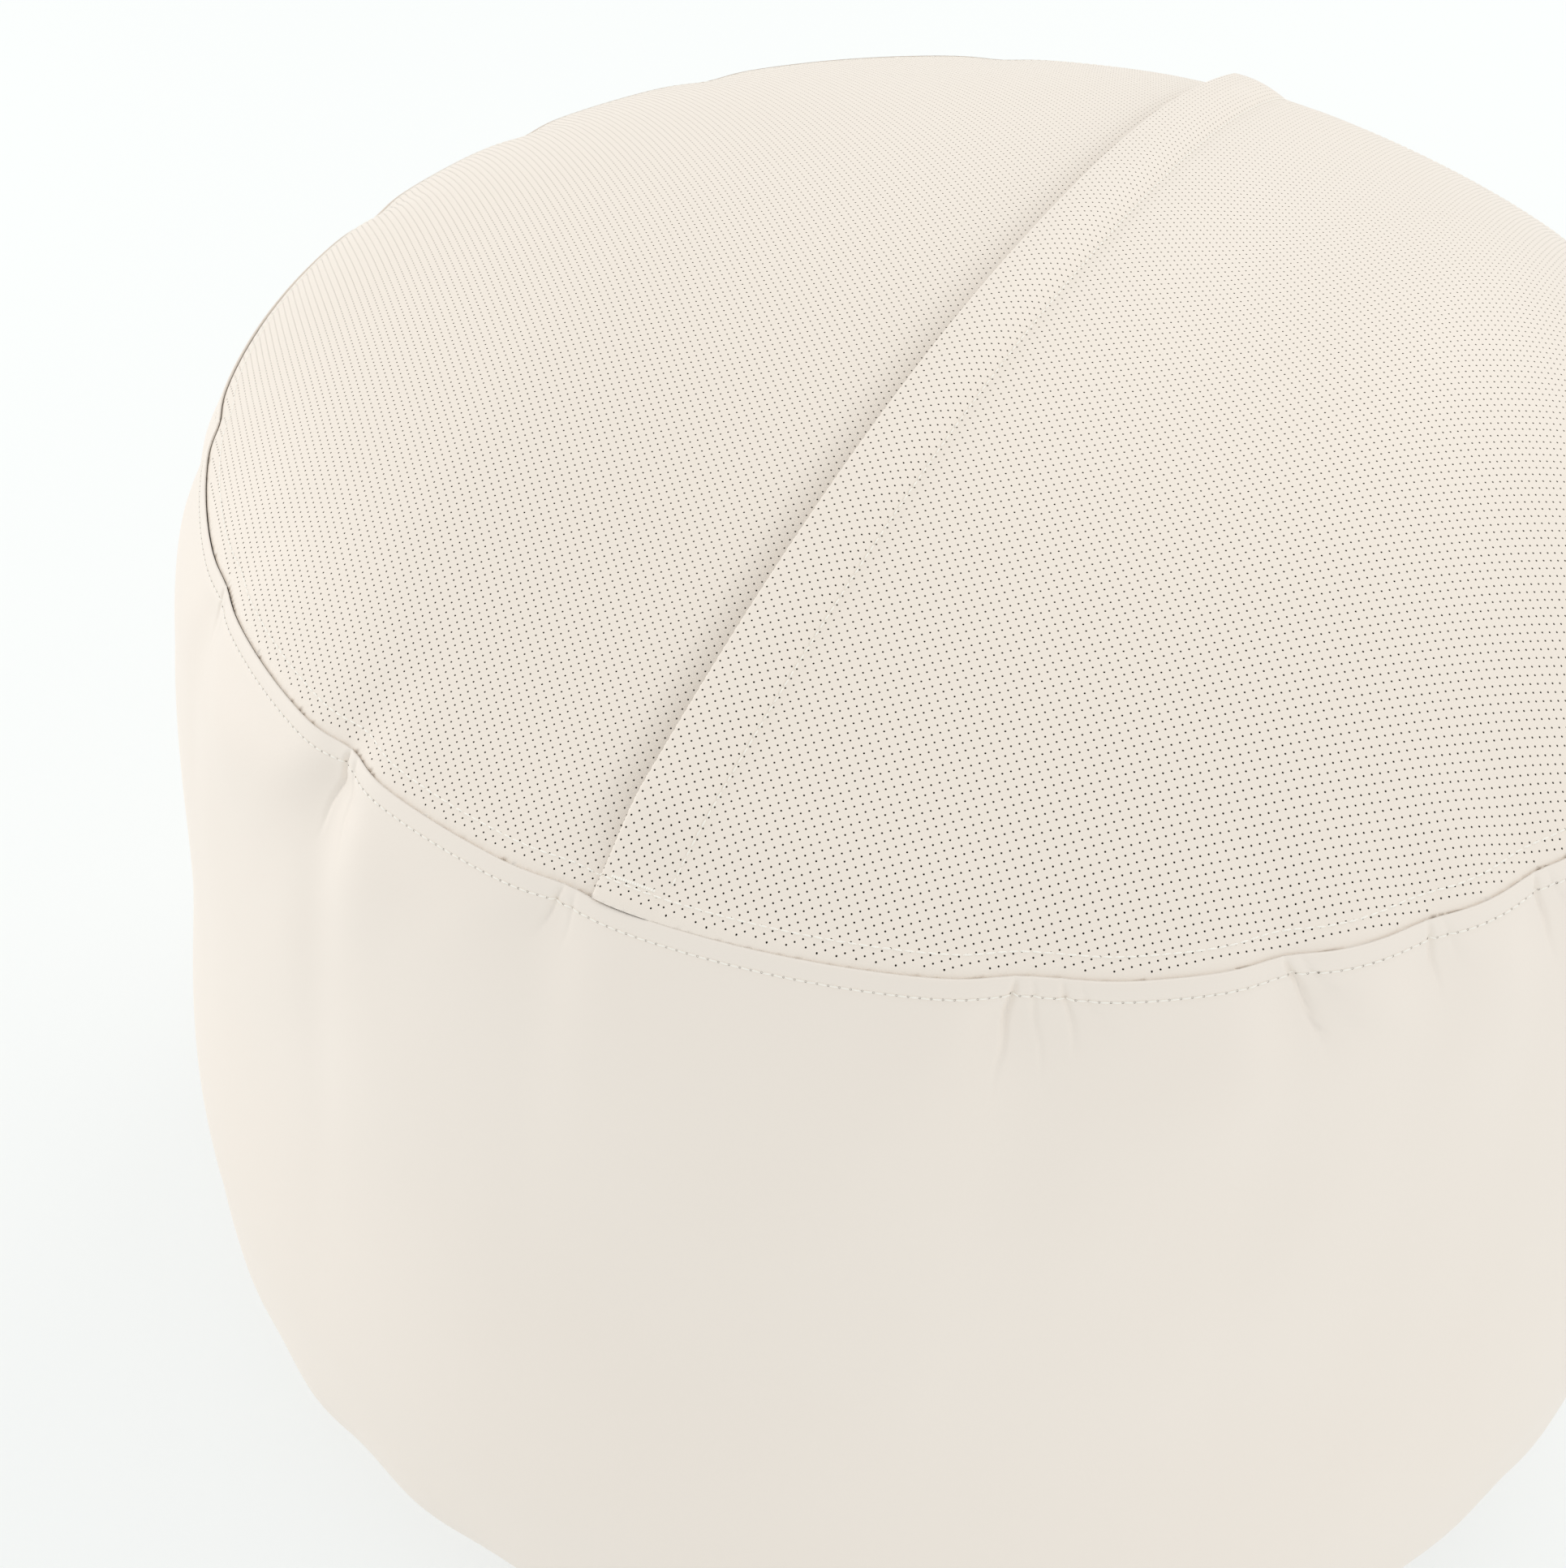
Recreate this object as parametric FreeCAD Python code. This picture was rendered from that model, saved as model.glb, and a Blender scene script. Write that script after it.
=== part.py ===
import FreeCAD, Part

import math
import os

from FreeCAD import Vector

# A round, bead-filled floor pouf in imitation leather. A perforated, domed top in two panels is joined
# to a smooth side wall by a rim seam; a zip crosses the top under a folded flap, so that the inner
# bag of beads can be taken out. Millimetres, +Z up, origin on the floor under the centre, zip along Y.

# ---- driving dimensions: outer form -------------------------------------------------------------
seam_radius = 255.0        # rim seam, where the top meets the wall
seam_height = 408.0        # rim seam above the floor
crown_rise = 57.0          # top of the dome above the rim seam
edge_roll_width = 25.5     # width of the tighter curve that rolls over to the rim seam
edge_roll_rise = 13.0      # its height above the rim seam
shoulder_out = 25.0        # wall bulge just under the rim, beyond the rim seam
shoulder_drop = 50.0       # below the rim seam
side_out = 36.0            # half-way down the wall, beyond the rim seam
side_height = 240.0
belly_out = 56.0           # widest place, where the beads settle
belly_height = 120.0
tuck_out = 41.0            # start of the rounded lower edge
tuck_height = 48.0
base_in = 9.0              # flat panel that the pouf stands on, within the rim seam
base_seam_reach = 3.0      # the wall's outer face beyond the base panel at the base seam
outline_steps = 24         # places taken down the wall's outline

# ---- driving dimensions: cover -------------------------------------------------------------------
leather = 1.2              # imitation leather thickness
base_sheet = 1.5           # thicker non-slip base panel
seam_gap = 0.2             # open line between two sewn edges
sheet_gap = 0.1            # between two layers that lie on each other
tape_sheet = 1.1           # reinforcing tape behind a seam
tape_width = 12.0
back_tape_width = 20.0
thread = 0.35              # height of a stitch row above the leather
thread_width = 0.6
stitch_inset = 6.0         # from the rim seam to the stitch row on either side of it
base_stitch_height = 11.0
row_end_gap = 4.0          # a stitch row stops this far from the row it runs up to
row_clearing = 1.5         # and this far from the flap
tape_margin = 1.0          # base seam tape above the wall's lower edge
tape_end_gap = 6.0         # back seam tape from the tapes above and below it

# ---- driving dimensions: zip and flap --------------------------------------------------------------
flap_edge_x = 8.5          # free edge of the flap, to the right of the centre
flap_width = 20.0          # free edge to topstitching
flap_sheet = 2.5           # the flap is the right panel folded double
flap_foot = 2.4            # flat strip of the flap beside the topstitching
flap_bend = 1.6            # the outer fold above the foot, beyond the inner one
zip_place = 0.425          # share of the flap's width from its free edge to the zip's centre line
hem_width = 8.0            # left panel's edge, turned under
left_stitch_inset = 2.0    # from the left panel's edge to its stitch row
tack_inset = 1.0           # tack from the flap's free edge
coil_gap = 1.6
coil_width = 2.4
coil_height = 2.2
coil_level = -4.0          # underside of the coils, from the outer face of the top
tape_reach = 11.0          # zip tape width outside its coil
zip_tape_sheet = 0.6
zip_tape_gap = 0.2         # under the left panel's turned edge
zip_end_inset = 28.0       # slider's resting place, short of the edge roll
slider_length = 11.0
slider_width = 9.6
slider_plate = 1.0
slider_clearance = 0.4
slider_room = 0.7          # beside the slider, to the left panel's edge
slope_room = 1.0           # beside the slider, to the rise of the flap
lip_width = 0.8            # rims of the roof plate that reach down beside the coils
post_width = 1.0
post_back = 1.5            # post behind the slider's middle
post_inset = 1.0           # post from the slider's front end
bridge_width = 2.0
bridge_length = 7.0
bridge_sheet = 0.8
pull_pin = 1.2             # diameter of the pull's crossbar under the bridge
pin_clearance = 0.4
pull_gap = 0.5             # arms beside the bridge
bridge_clearance = 0.8     # tab in front of the bridge as it swings past
pull_arm = 1.0
pull_sheet = 1.0
pull_length = 22.0
pull_lift = 8.0            # degrees that the pull swings up before the flap is in its way
stop_length = 2.6
stop_overhang = 0.3        # stops above and below the coils

# ---- driving dimensions: inner bag ----------------------------------------------------------------
wall_room = 4.2            # outer face of the cover to the bag, at the wall
slider_to_bag = 1.4        # clear height under the slider
liner = 0.8
closure_width = 10.0
closure_length = 240.0
closure_sheet = 0.3
closure_gap = 0.05         # closure strip above the bag's top
bag_top_drop = 14.0        # the bag's upper seam below the rim seam
bag_base_rise = 12.0       # the bag's lower seam above its floor
bag_floor = 1.8            # bag above the floor

# ---- worked out from the values above ---------------------------------------------------------------
top_height = seam_height + crown_rise
belly_radius = seam_radius + belly_out
base_radius = seam_radius - base_in
roll_start = seam_radius - edge_roll_width
dome_drop = crown_rise - edge_roll_rise
dome_radius = (roll_start ** 2 + dome_drop ** 2) / (2 * dome_drop)
dome_centre = top_height - dome_radius
roll_angle = math.asin(roll_start / dome_radius)
toward_roll = (math.sin(roll_angle), math.cos(roll_angle))
roll_reach = edge_roll_width * toward_roll[0] - edge_roll_rise * toward_roll[1]
roll_radius = -(edge_roll_width ** 2 + edge_roll_rise ** 2) / (2 * roll_reach)
rim_angle = math.asin((edge_roll_width + roll_radius * toward_roll[0]) / roll_radius)

zip_x = flap_edge_x + zip_place * flap_width
zip_radius = math.sqrt(dome_radius ** 2 - zip_x ** 2)
zip_half = zip_radius * roll_angle - zip_end_inset
zip_tape_level = -2 * leather - zip_tape_gap - zip_tape_sheet

coil_top = coil_level + coil_height
coil_inner = coil_gap / 2
coil_outer = coil_inner + coil_width
coil_reach = zip_half + slider_length / 2 + slider_clearance
slider_floor = coil_level - slider_clearance - slider_plate
slider_roof = coil_top + slider_clearance + slider_plate
pin_level = slider_roof + pin_clearance + pull_pin / 2
bridge_top = pin_level + pull_pin / 2 + pin_clearance + bridge_sheet
zip_top = dome_centre + zip_radius

# The raised pull's tip, and what the dome falls away under its length, set the clear height under the flap.
tip_rise = pull_length * math.sin(math.radians(pull_lift)) + pull_sheet / 2
flap_rise = pin_level + tip_rise + pull_length ** 2 / (2 * zip_radius) + slider_clearance
flap_top = flap_rise + flap_sheet

stitch_x = flap_edge_x + flap_width
left_edge_x = zip_x - slider_width / 2 - slider_room
right_edge_x = stitch_x + seam_gap / 2
hem_level = -leather - sheet_gap
wall_floor = base_sheet + sheet_gap
top_room = slider_to_bag - slider_floor
bag_top_seam = seam_height - bag_top_drop
bag_base_seam = bag_floor + bag_base_rise

# Where the zip tapes, the flap and its tacks end on the edge roll, as shares of the way over it.
roll_turn = rim_angle - roll_angle
tape_end = roll_angle + 0.87 * roll_turn
flap_end = roll_angle + 0.76 * roll_turn
tack_at = roll_angle + 0.69 * roll_turn
EVERYWHERE = 2 * (belly_radius + top_height)


def polygon(points):
    return Part.makePolygon(points + [points[0]])


def box(low, high):
    size = [b - a for a, b in zip(low, high)]
    return Part.makeBox(*size, Vector(*low))


def slab(low_z, high_z):
    return box((-EVERYWHERE, -EVERYWHERE, low_z), (EVERYWHERE, EVERYWHERE, high_z))


def strip(low_x, high_x):
    return box((low_x, -EVERYWHERE, -EVERYWHERE), (high_x, EVERYWHERE, EVERYWHERE))


def ring(inner, outer):
    tall = 2 * EVERYWHERE
    low = Vector(0, 0, -EVERYWHERE)
    return Part.makeCylinder(outer, tall, low).cut(Part.makeCylinder(inner, tall, low))


def spin(edges):
    """A solid of revolution about Z from the edges of one closed outline in the XZ plane."""
    return Part.Face(Part.Wire(edges)).revolve(Vector(0, 0, 0), Vector(0, 0, 1), 360)


# ---- the outer form: wall and crown, at any distance inside or outside the leather's outer face ------

def wall_points(level):
    """Places down the wall's outline, moved outward by level along the outline's own normal."""
    outline = Part.BSplineCurve()
    outline.interpolate([
        Vector(seam_radius, 0, seam_height),
        Vector(seam_radius + shoulder_out, 0, seam_height - shoulder_drop),
        Vector(seam_radius + side_out, 0, side_height),
        Vector(belly_radius, 0, belly_height),
        Vector(seam_radius + tuck_out, 0, tuck_height),
        Vector(base_radius + base_seam_reach, 0, wall_floor),
    ])
    first, last = outline.FirstParameter, outline.LastParameter
    places = []
    for step in range(outline_steps + 1):
        at = first + (last - first) * step / outline_steps
        along = outline.tangent(at)[0]
        outward = Vector(-along.z, 0, along.x).normalize()
        places.append(outline.value(at) + outward * level)
    return places


def inside_wall(level):
    """Everything inside the wall's outline moved by level, open upward past the crown."""
    places = wall_points(level)
    line = Part.BSplineCurve()
    line.interpolate(places)
    top, bottom = places[0], places[-1]
    over = Vector(top.x, 0, EVERYWHERE)
    corners = [bottom, Vector(bottom.x, 0, 0), Vector(0, 0, 0), Vector(0, 0, EVERYWHERE), over, top]
    sides = [Part.makeLine(a, b) for a, b in zip(corners, corners[1:]) if a.distanceToPoint(b) > 1e-6]
    return spin([line.toShape()] + sides)


def dome_point(angle, level):
    return Vector((dome_radius + level) * math.sin(angle), 0,
                  dome_centre + (dome_radius + level) * math.cos(angle))


def roll_point(angle, level):
    centre = dome_point(roll_angle, -roll_radius)
    return centre + Vector(math.sin(angle), 0, math.cos(angle)) * (roll_radius + level)


def under_crown(level):
    """Everything under the crown's outline moved by level: a large arc, then the tighter edge roll."""
    top, knee, rim = dome_point(0, level), dome_point(roll_angle, level), roll_point(rim_angle, level)
    dome = Part.Arc(top, dome_point(roll_angle / 2, level), knee).toShape()
    roll = Part.Arc(knee, roll_point((roll_angle + rim_angle) / 2, level), rim).toShape()
    corners = [rim, Vector(EVERYWHERE, 0, rim.z), Vector(EVERYWHERE, 0, 0), Vector(0, 0, 0), top]
    sides = [Part.makeLine(a, b) for a, b in zip(corners, corners[1:])]
    return spin([dome, roll] + sides)


def form(level):
    return inside_wall(level).common(under_crown(level))


def layer(low, high):
    """A skin that follows the whole form between two levels."""
    return form(high).cut(form(low))


# ---- sections swept along the zip's line over the crown ----------------------------------------------

def swept(section, centre, radius, start, end):
    """An outline of (x, level) places turned about an axis along X, from start to end."""
    places = [Vector(x, centre.y, centre.z + radius + level) for x, level in section]
    face = Part.Face(polygon(places))
    face.rotate(centre, Vector(1, 0, 0), -math.degrees(start))
    return face.revolve(centre, Vector(1, 0, 0), -math.degrees(end - start))


def over_dome(section, start, end):
    """start and end are lengths along the zip's line from its middle."""
    centre = Vector(0, 0, dome_centre)
    return swept(section, centre, zip_radius, start / zip_radius, end / zip_radius)


def over_top(section, end_angle):
    """The same section from one rim to the other, over both edge rolls."""
    whole = over_dome(section, -zip_radius * roll_angle, zip_radius * roll_angle)
    inner = zip_radius - roll_radius
    for side in (-1, 1):
        centre = Vector(0, side * inner * math.sin(roll_angle), dome_centre + inner * math.cos(roll_angle))
        low, high = sorted((side * roll_angle, side * end_angle))
        whole = whole.fuse(swept(section, centre, roll_radius, low, high))
    return whole.removeSplitter()


def rectangle(low_x, high_x, low, high):
    return [(low_x, low), (high_x, low), (high_x, high), (low_x, high)]


def at_slider(shape):
    """Moves a shape modelled at the top of the zip's line to the slider's resting place."""
    shape.rotate(Vector(0, 0, dome_centre), Vector(1, 0, 0), -math.degrees(zip_half / zip_radius))
    return shape


# ---- outer cover ---------------------------------------------------------------------------------------

def crown_skin():
    return layer(-leather, 0).common(slab(seam_height - seam_gap / 2, EVERYWHERE))


def top_panel_left():
    """The left half of the top, with its edge turned under along the zip."""
    skin = crown_skin().common(strip(-EVERYWHERE, left_edge_x))
    hem = over_top(rectangle(left_edge_x - hem_width, left_edge_x, -2 * leather, -leather / 2), tape_end)
    return skin.fuse(hem)


def top_panel_right():
    return crown_skin().common(strip(right_edge_x, EVERYWHERE))


def zip_flap():
    """The right panel folded back on itself: it rises from the topstitching and covers the zip."""
    slope = zip_x + slider_width / 2 + slope_room
    foot = stitch_x - flap_foot
    end = stitch_x - seam_gap / 2
    section = [(flap_edge_x, flap_rise), (slope, flap_rise), (foot, hem_level), (end, hem_level), (end, 0),
               (slope + flap_bend, flap_top), (flap_edge_x, flap_top)]
    return over_top(section, flap_end)


def side_wall():
    """One strip of leather closed by a seam at the back."""
    skin = layer(-leather, 0).common(slab(wall_floor, seam_height - leather - seam_gap))
    slit = box((-seam_gap / 2, 0, -1), (seam_gap / 2, EVERYWHERE, top_height))
    return skin.cut(slit)


def base_panel():
    return Part.makeCylinder(base_radius, base_sheet)


def tape_layer():
    return layer(-leather - sheet_gap - tape_sheet, -leather - sheet_gap)


def rim_tape():
    low = seam_height - 2 * leather
    return tape_layer().common(slab(low - tape_width, low))


def base_tape():
    low = wall_floor + tape_margin
    return tape_layer().common(slab(low, low + tape_width))


def back_seam_tape():
    half = back_tape_width / 2
    low = wall_floor + tape_width + tape_end_gap
    high = seam_height - tape_width - tape_end_gap
    return tape_layer().common(box((-half, 0, low), (half, EVERYWHERE, high)))


# ---- stitch rows -----------------------------------------------------------------------------------------

def flap_clearing():
    return strip(flap_edge_x - row_clearing, stitch_x + row_clearing)


def rim_stitch_top():
    middle = seam_radius - stitch_inset
    band = ring(middle - thread_width / 2, middle + thread_width / 2)
    row = layer(0, thread).common(slab(seam_height, EVERYWHERE))
    return row.common(band).cut(flap_clearing())


def rim_stitch_wall():
    middle = seam_height - stitch_inset
    return layer(0, thread).common(slab(middle - thread_width / 2, middle + thread_width / 2))


def base_stitch():
    return layer(0, thread).common(slab(base_stitch_height, base_stitch_height + thread_width))


def back_seam_stitch():
    rows = []
    for side in (-1, 1):
        middle = side * stitch_inset
        low = base_stitch_height + row_end_gap
        high = seam_height - stitch_inset - row_end_gap
        rows.append(box((middle - thread_width / 2, 0, low), (middle + thread_width / 2, EVERYWHERE, high)))
    return layer(0, thread).common(rows[0].fuse(rows[1]))


def row_along_zip(middle):
    row = layer(0, thread).common(strip(middle - thread_width / 2, middle + thread_width / 2))
    return row.common(slab(seam_height + row_end_gap, EVERYWHERE))


def flap_stitch():
    return row_along_zip(right_edge_x + thread_width)


def left_panel_stitch():
    return row_along_zip(left_edge_x - left_stitch_inset)


def flap_tack(side):
    """A bar of thread across the flap where it goes into the rim seam."""
    section = rectangle(flap_edge_x + tack_inset, zip_x + slider_width / 2, flap_top, flap_top + thread)
    inner = zip_radius - roll_radius
    centre = Vector(0, side * inner * math.sin(roll_angle), dome_centre + inner * math.cos(roll_angle))
    low, high = sorted((side * tack_at, side * (tack_at + thread_width / roll_radius)))
    return swept(section, centre, roll_radius, low, high)


# ---- zip ---------------------------------------------------------------------------------------------------

def zip_tape(side):
    low, high = sorted((zip_x + side * coil_outer, zip_x + side * (coil_outer + tape_reach)))
    section = rectangle(low, high, zip_tape_level, zip_tape_level + zip_tape_sheet)
    return over_top(section, tape_end)


def zip_coil(side):
    low, high = sorted((zip_x + side * coil_inner, zip_x + side * coil_outer))
    return over_dome(rectangle(low, high, coil_level, coil_top), -coil_reach, coil_reach)


def zip_top_stops():
    stops = []
    for side in (-1, 1):
        low, high = sorted((zip_x + side * coil_inner, zip_x + side * coil_outer))
        section = rectangle(low, high, coil_level - stop_overhang, coil_top + stop_overhang)
        stops.append(over_dome(section, coil_reach, coil_reach + stop_length))
    return Part.makeCompound(stops)


def zip_bottom_stop():
    section = rectangle(zip_x - coil_outer, zip_x + coil_outer,
                        coil_level - stop_overhang, coil_top + stop_overhang)
    return over_dome(section, -coil_reach - stop_length, -coil_reach)


def zip_slider():
    """Two plates joined by a post that runs between the coils, with a bridge for the pull on top."""
    half, side = slider_length / 2, slider_width / 2
    floor = box((zip_x - side, -half, zip_top + slider_floor),
                (zip_x + side, half, zip_top + slider_floor + slider_plate))
    roof = box((zip_x - side, -half, zip_top + slider_roof - slider_plate),
               (zip_x + side, half, zip_top + slider_roof))
    post = box((zip_x - post_width / 2, -post_back, zip_top + slider_floor),
               (zip_x + post_width / 2, half - post_inset, zip_top + slider_roof))
    body = floor.fuse(roof).fuse(post)
    for edge in (-1, 1):
        low, high = sorted((zip_x + edge * side, zip_x + edge * (side - lip_width)))
        lip = zip_tape_level + zip_tape_sheet + slider_clearance
        body = body.fuse(box((low, -half, zip_top + lip), (high, half, zip_top + slider_roof)))
    arch = box((zip_x - bridge_width / 2, -bridge_length / 2, zip_top + slider_roof),
               (zip_x + bridge_width / 2, bridge_length / 2, zip_top + bridge_top))
    tunnel = box((zip_x - bridge_width, -bridge_length / 2 + bridge_sheet, zip_top + slider_roof),
                 (zip_x + bridge_width, bridge_length / 2 - bridge_sheet, zip_top + bridge_top - bridge_sheet))
    return at_slider(body.fuse(arch.cut(tunnel)).removeSplitter())


def zip_pull():
    """A crossbar under the slider's bridge, two arms past it and the tab that is gripped."""
    middle = zip_top + pin_level
    half = bridge_width / 2 + pull_gap
    reach = math.hypot(bridge_length / 2, bridge_top - pin_level) + bridge_clearance
    bar = Part.makeCylinder(pull_pin / 2, 2 * (half + pull_arm), Vector(zip_x - half - pull_arm, 0, middle),
                            Vector(1, 0, 0))
    thin = pull_sheet / 2
    pull = bar
    for side in (-1, 1):
        low, high = sorted((zip_x + side * half, zip_x + side * (half + pull_arm)))
        pull = pull.fuse(box((low, -reach - pull_arm, middle - thin), (high, 0, middle + thin)))
    tab = box((zip_x - half - pull_arm, -pull_length, middle - thin),
              (zip_x + half + pull_arm, -reach, middle + thin))
    return at_slider(pull.fuse(tab).removeSplitter())


# ---- inner bag of beads --------------------------------------------------------------------------------------

def bag_form(inset):
    shape = inside_wall(-wall_room - inset).common(under_crown(-top_room - inset))
    return shape.common(slab(bag_floor + inset, EVERYWHERE))


def bag_skin():
    return bag_form(0).cut(bag_form(liner))


def inner_bag_top():
    return bag_skin().common(slab(bag_top_seam + seam_gap / 2, EVERYWHERE))


def inner_bag_wall():
    return bag_skin().common(slab(bag_base_seam + seam_gap / 2, bag_top_seam - seam_gap / 2))


def inner_bag_base():
    return bag_skin().common(slab(-1, bag_base_seam - seam_gap / 2))


def inner_bag_closure():
    """The sewn strip that shuts the opening through which the beads are poured in."""
    low_level = -top_room + closure_gap
    sheet = under_crown(low_level + closure_sheet).cut(under_crown(low_level))
    low = zip_x - closure_width / 2
    half = closure_length / 2
    return sheet.common(box((low, -half, seam_height), (low + closure_width, half, top_height)))


def bead_fill():
    return bag_form(liner + sheet_gap)


NODES = {
    "top_panel_left": top_panel_left,
    "top_panel_right": top_panel_right,
    "zip_flap": zip_flap,
    "side_wall": side_wall,
    "base_panel": base_panel,
    "rim_seam_tape": rim_tape,
    "base_seam_tape": base_tape,
    "back_seam_tape": back_seam_tape,
    "rim_stitch_top": rim_stitch_top,
    "rim_stitch_wall": rim_stitch_wall,
    "base_stitch": base_stitch,
    "back_seam_stitch": back_seam_stitch,
    "flap_stitch": flap_stitch,
    "left_panel_stitch": left_panel_stitch,
    "flap_tack_front": lambda: flap_tack(-1),
    "flap_tack_back": lambda: flap_tack(1),
    "zip_tape_left": lambda: zip_tape(-1),
    "zip_tape_right": lambda: zip_tape(1),
    "zip_coil_left": lambda: zip_coil(-1),
    "zip_coil_right": lambda: zip_coil(1),
    "zip_top_stops": zip_top_stops,
    "zip_bottom_stop": zip_bottom_stop,
    "zip_slider": zip_slider,
    "zip_pull": zip_pull,
    "inner_bag_top": inner_bag_top,
    "inner_bag_wall": inner_bag_wall,
    "inner_bag_base": inner_bag_base,
    "inner_bag_closure": inner_bag_closure,
    "bead_fill": bead_fill,
}

os.makedirs("parts", exist_ok=True)
for name, make in NODES.items():
    make().exportStep("parts/" + name + ".step")
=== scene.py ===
import math

import bpy
import numpy as np
from mathutils import Matrix, Vector


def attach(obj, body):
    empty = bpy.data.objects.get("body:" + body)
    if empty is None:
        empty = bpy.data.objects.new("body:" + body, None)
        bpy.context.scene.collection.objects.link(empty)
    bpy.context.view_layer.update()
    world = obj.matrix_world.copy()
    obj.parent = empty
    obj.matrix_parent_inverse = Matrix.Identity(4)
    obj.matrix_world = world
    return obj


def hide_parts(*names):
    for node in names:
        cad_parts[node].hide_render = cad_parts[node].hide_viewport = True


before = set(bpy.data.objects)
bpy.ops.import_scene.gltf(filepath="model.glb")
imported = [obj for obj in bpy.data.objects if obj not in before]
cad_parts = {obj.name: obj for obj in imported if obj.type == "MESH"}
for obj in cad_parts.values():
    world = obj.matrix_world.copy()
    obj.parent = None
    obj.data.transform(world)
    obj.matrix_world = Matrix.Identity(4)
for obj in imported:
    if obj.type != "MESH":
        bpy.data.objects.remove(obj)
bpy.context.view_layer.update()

# A round, bead-filled floor pouf in cream imitation leather. Metres; the zip and its flap run along Y.

# ---- sizes --------------------------------------------------------------------------------------------
RIM = 0.255                # rim seam, mean radius
RIM_Z = 0.408              # rim seam above the floor
CROWN = 0.057              # dome above the rim seam
ROLL_WIDTH = 0.0255        # edge roll beside the rim seam
ROLL_RISE = 0.013
WALL_FOOT = 0.0016         # wall's lower edge above the floor
BASE = 0.246               # base panel's radius
ZIP_X = 0.017
FLAP_EDGE = 0.0065         # flap's free edge
FLAP_WIDTH = 0.020         # free edge to topstitching
STITCH_X = FLAP_EDGE + FLAP_WIDTH
LEFT_EDGE = 0.0115         # left panel's edge, under the flap
FLAP_HEIGHT = 0.0074       # top of the flap above the crown
RIGHT_SWELL = 0.0034       # right panel above the crown at the topstitching
FOLD = 0.0010              # radius of the fold at the free edge
DRIFT = 0.0035             # flap's shift towards -X at its back end
LEFT_DIP = 0.0016          # left panel below the crown at the flap's free edge
STITCH_DIP = 0.00035       # leather drawn down along the flap's topstitching
STITCH_DIP_WIDTH = 0.0026
HOLE_PITCH = 0.0024        # between neighbouring holes, on lines at 45 degrees to the zip
ROW = HOLE_PITCH / math.sqrt(2)
HOLE = 0.00034             # hole radius
HOLE_DEPTH = 0.0008
STITCH = 0.003             # stitch length
STITCH_DEPTH = 0.0050      # wall's stitch row below the rim seam
STITCH_INSET = 0.0055      # top's stitch row inside the rim seam
BASE_STITCH_DEPTH = 0.3965
BACK_STITCH_OFFSET = 0.006 # back seam to each of its stitch rows
TOP_THREAD = 0.00034       # height of the stitches on the top
TAPE_INSET = 0.0022        # tapes behind the wall's outer face
SEAM_GAP = 0.0002          # half of the open line between top and wall

# ---- soft shape ---------------------------------------------------------------------------------------
# The wall's outline: share of the way down, and radius as a share of the rim's.
DOWN = [0.0, 0.06, 0.16, 0.4, 0.7, 0.87, 0.955, 1.0]
OUT = [1.0, 1.050, 1.084, 1.131, 1.198, 1.160, 1.045, 0.984]
# Gathers under the rim seam: degrees round from +X, pinch, crease length, sideways lean per metre down.
PUCKERS = [
    (-110.1, 0.0032, 0.034, -0.15), (-90.6, 0.0016, 0.020, -0.35), (-62.4, 0.0022, 0.034, -0.10),
    (-59.6, 0.0012, 0.024, 0.25), (-46.4, 0.0022, 0.040, 0.45), (-37.2, 0.0014, 0.024, 0.15),
    (-29.0, 0.0016, 0.030, 0.20), (-6.0, 0.0018, 0.032, -0.20), (24.0, 0.0024, 0.036, 0.30),
    (51.0, 0.0015, 0.022, -0.25), (83.0, 0.0020, 0.030, 0.10), (112.0, 0.0022, 0.036, -0.30),
    (139.0, 0.0028, 0.030, 0.20), (158.0, 0.0034, 0.034, -0.20), (176.0, 0.0026, 0.028, 0.25),
    (-152.0, 0.0016, 0.022, -0.15), (-131.0, 0.0012, 0.020, 0.20),
]


def ease(x, low, high):
    t = np.clip((x - low) / (high - low), 0, 1)
    return t * t * (3 - 2 * t)


def hump(x, width):
    return np.exp(-(x / width) ** 2)


def turned(a, degrees):
    """Angle a measured from the one given, from -pi to pi."""
    return (a - math.radians(degrees) + np.pi) % (2 * np.pi) - np.pi


def smooth_line(at, places, values):
    """Cubic Hermite line through (place, value), with the slopes of the chords across each place."""
    places, values = np.array(places), np.array(values)
    slopes = np.gradient(values, places)
    i = np.clip(np.searchsorted(places, at) - 1, 0, len(places) - 2)
    span = places[i + 1] - places[i]
    t = (at - places[i]) / span
    start = (1 + 2 * t) * (1 - t) ** 2 * values[i] + t * (1 - t) ** 2 * span * slopes[i]
    end = t * t * (3 - 2 * t) * values[i + 1] + t * t * (t - 1) * span * slopes[i + 1]
    return start + end


def rim_radius(a, dents=1.0):
    """The rim is pulled 10 mm towards -X, 2% oval and a little three-sided, with a dent at each gather."""
    r = RIM * (1 - 0.0391 * np.cos(turned(a, 2.8)) + 0.0198 * np.cos(2 * turned(a, -50.3))
               + 0.0058 * np.cos(3 * turned(a, -18.8)))
    for place, pinch, _, _ in PUCKERS:
        r = r - dents * pinch * hump(turned(a, place) * RIM, 0.011)
    return r


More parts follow.
